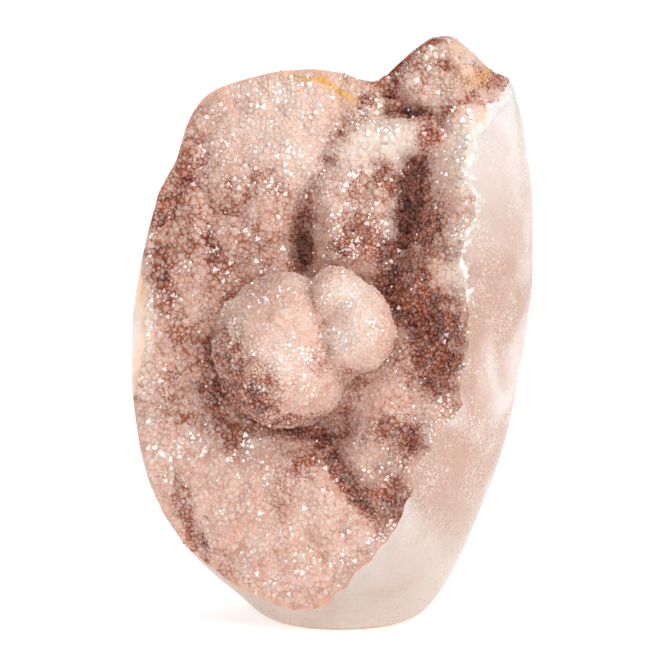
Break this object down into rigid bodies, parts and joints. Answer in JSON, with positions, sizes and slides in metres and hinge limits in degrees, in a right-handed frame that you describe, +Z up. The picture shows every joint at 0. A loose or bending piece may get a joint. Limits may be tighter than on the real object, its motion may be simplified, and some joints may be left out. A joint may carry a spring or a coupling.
{
  "type": "pink amethyst freeform",
  "caption": "Standing polished pink amethyst freeform with an open face of small crystals and a round two-lobed crystal knob in its hollow.",
  "frame": {"origin": "centre of the flat base it stands on", "axes": "+Z up, -Y towards the open crystal face, +X to the right of a viewer who faces it"},
  "size_m": [0.0948, 0.0656, 0.1386],
  "materials": {
    "polished_stone": "polished, glossy, pale pink with fine milky streaks",
    "crystal_crust": "sparkling milky pink quartz points with brown iron staining in the hollows"
  },
  "bodies": {
    "root": {"polished_stone": "polished_stone", "crystal_crust": "crystal_crust"}
  },
  "joints": []
}
